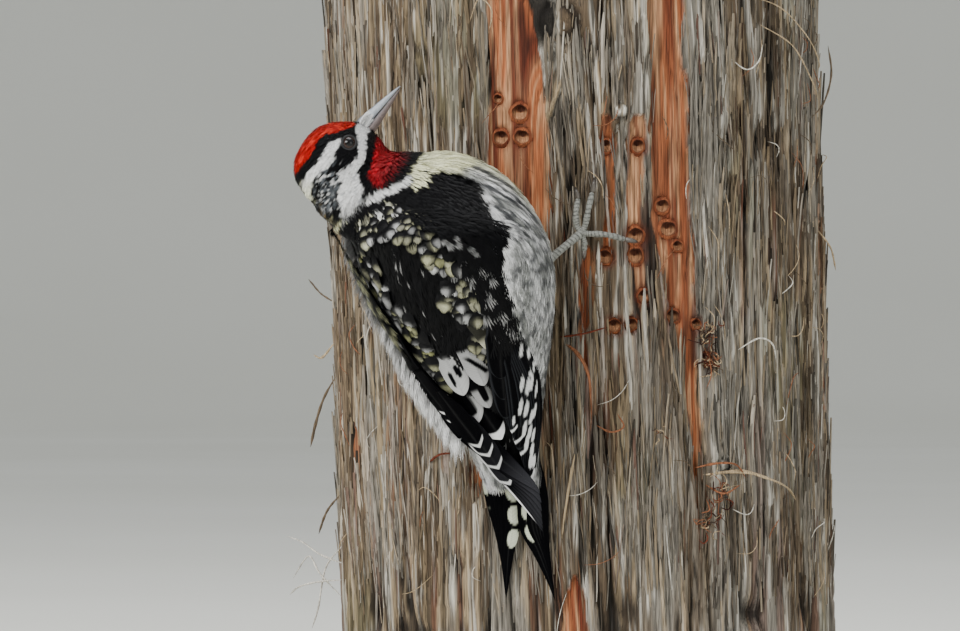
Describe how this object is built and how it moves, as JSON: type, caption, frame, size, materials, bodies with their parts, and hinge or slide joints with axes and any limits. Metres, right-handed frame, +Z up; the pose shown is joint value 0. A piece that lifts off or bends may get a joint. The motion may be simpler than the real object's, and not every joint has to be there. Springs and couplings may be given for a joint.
{
  "type": "yellow-bellied sapsucker woodpecker clinging to a trunk perch",
  "caption": "Life-size still model of a male yellow-bellied sapsucker clinging to a cut length of shaggy trunk, held up by a plain disc stand with rods.",
  "frame": {"origin": "centre of the underside of the stand's base, on the floor", "axes": "+Z up along the trunk; the bird clings to the -Y side of the trunk with its back towards -Y and -X, and its bill points up towards +X"},
  "size_m": [0.204, 0.2518, 0.278],
  "materials": {
    "plumage": "black and white feathers",
    "plumage_mottled": "mottled soft feathers",
    "plumage_head": "short red, black and white feathers",
    "horn": "smooth grey horn",
    "eye": "dark and glossy",
    "foot_skin": "grey scaly skin",
    "claw": "dark horn",
    "bark": "rough fibrous bark with sawn ends",
    "stand_wood": "dark stained, satin",
    "rod": "brushed"
  },
  "bodies": {
    "root": {"torso": "plumage_mottled", "neck": "plumage_mottled", "head": "plumage_head", "bill_upper": "horn", "bill_lower": "horn", "eye_right": "eye", "eye_left": "eye", "wing_right": "plumage", "wing_left": "plumage", "tail_left": "plumage", "tail_right": "plumage", "perch_trunk": "bark", "stand_base": "stand_wood", "stand_rod_1": "rod", "stand_rod_2": "rod", "thigh_right": "plumage_mottled", "tarsus_right": "foot_skin", "toe1_right": "foot_skin", "claw1_right": "claw", "toe2_right": "foot_skin", "claw2_right": "claw", "toe3_right": "foot_skin", "claw3_right": "claw", "toe4_right": "foot_skin", "claw4_right": "claw", "thigh_left": "plumage_mottled", "tarsus_left": "foot_skin", "toe1_left": "foot_skin", "claw1_left": "claw", "toe2_left": "foot_skin", "claw2_left": "claw", "toe3_left": "foot_skin", "claw3_left": "claw", "toe4_left": "foot_skin", "claw4_left": "claw"}
  },
  "joints": []
}
